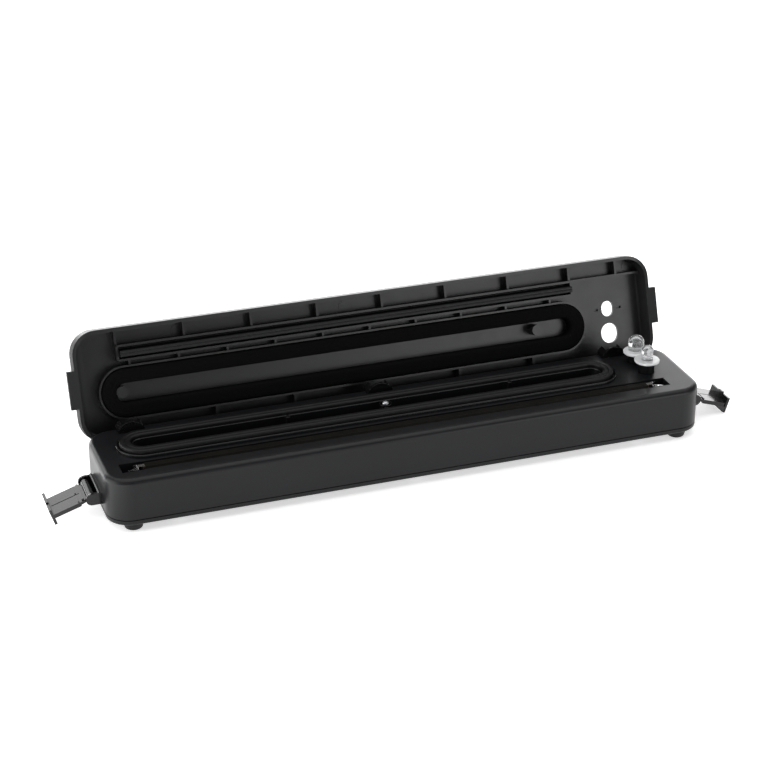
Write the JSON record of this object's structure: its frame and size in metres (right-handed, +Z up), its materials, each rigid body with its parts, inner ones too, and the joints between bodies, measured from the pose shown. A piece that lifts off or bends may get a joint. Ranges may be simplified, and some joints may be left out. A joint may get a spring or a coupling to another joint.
{
  "type": "vacuum sealer",
  "caption": "Slim kitchen vacuum sealer: a long black base with heat-seal strip and gasketed vacuum channel, a hinged ribbed lid, side latches and clear push buttons.",
  "frame": {"origin": "on the standing plane, under the middle of the base", "axes": "+X along the length towards the button end, +Y towards the hinge, +Z up"},
  "size_m": [0.4202, 0.1006, 0.0843],
  "materials": {
    "housing_plastic": "fine satin texture",
    "lid_plastic": "fine satin texture",
    "gloss_black_plastic": "polished",
    "plunger_plastic": "semi-gloss",
    "foot_rubber": "matte",
    "gasket_rubber": "matte",
    "foam_rubber": "closed-cell foam",
    "press_rubber": "satin silicone",
    "nozzle_plastic": "polished",
    "heater_insulator": "laminate",
    "heating_alloy": "flat ribbon",
    "release_tape": "coated glass cloth",
    "clip_steel": "bright spring steel",
    "zinc_steel": "zinc plated",
    "clear_plastic": "clear, polished",
    "pump_plastic": "moulded",
    "clear_silicone": "translucent tube",
    "board_green": "solder resist",
    "transformer_tape": "polyester tape",
    "capacitor_sleeve": "heat-shrink sleeve",
    "relay_plastic": "moulded",
    "switch_plastic": "moulded",
    "led_lens": "diffused lens",
    "lead_insulation": "silicone insulation"
  },
  "bodies": {
    "base": {"main_housing": "housing_plastic", "bottom_cover": "housing_plastic", "rubber_feet": "foot_rubber", "cover_screws": "zinc_steel", "base_gasket": "gasket_rubber", "air_nozzle": "nozzle_plastic", "bag_stop_pegs": "nozzle_plastic", "heater_bar": "heater_insulator", "heating_wire": "heating_alloy", "release_tape": "release_tape", "wire_clips": "clip_steel", "pump_motor": "clip_steel", "pump_head": "pump_plastic", "pump_clamp": "zinc_steel", "vacuum_hose": "clear_silicone", "power_board": "board_green", "transformer": "transformer_tape", "capacitors": "capacitor_sleeve", "relay": "relay_plastic", "control_board": "board_green", "tact_switches": "switch_plastic", "status_leds": "led_lens", "board_screws": "zinc_steel", "power_inlet": "gloss_black_plastic", "inlet_pins": "zinc_steel", "heater_leads": "lead_insulation", "hinge_brackets": "gloss_black_plastic", "hinge_pins": "zinc_steel", "latch_bracket_left": "gloss_black_plastic", "latch_bracket_right": "gloss_black_plastic", "latch_pins": "zinc_steel"},
    "lid": {"lid_shell": "lid_plastic", "lid_gasket": "foam_rubber", "press_strip": "press_rubber", "hinge_arms": "gloss_black_plastic"},
    "latch_left": {"latch_lever_left": "gloss_black_plastic"},
    "latch_right": {"latch_lever_right": "gloss_black_plastic"},
    "button_front": {"button_cap_front": "clear_plastic", "button_plunger_front": "plunger_plastic"},
    "button_rear": {"button_cap_rear": "clear_plastic", "button_plunger_rear": "plunger_plastic"}
  },
  "joints": [
    {"name": "lid_hinge", "type": "hinge", "parent": "base", "child": "lid", "pos_m": [0, 0.0296, 0.0275], "axis": [1, 0, 0], "range_deg": [0, 109.5]},
    {"name": "latch_left_hinge", "type": "hinge", "parent": "base", "child": "latch_left", "pos_m": [-0.1856, 0, 0.0135], "axis": [0, 1, 0], "range_deg": [0, 108]},
    {"name": "latch_right_hinge", "type": "hinge", "parent": "base", "child": "latch_right", "pos_m": [0.1856, 0, 0.0135], "axis": [0, -1, 0], "range_deg": [0, 108]},
    {"name": "button_front_press", "type": "slide", "parent": "base", "child": "button_front", "axis": [0, 0, -1], "range_m": [0, 0.0011], "stiffness_N_per_m": 900, "springref_m": -0.0005},
    {"name": "button_rear_press", "type": "slide", "parent": "base", "child": "button_rear", "axis": [0, 0, -1], "range_m": [0, 0.0011], "stiffness_N_per_m": 900, "springref_m": -0.0005}
  ]
}
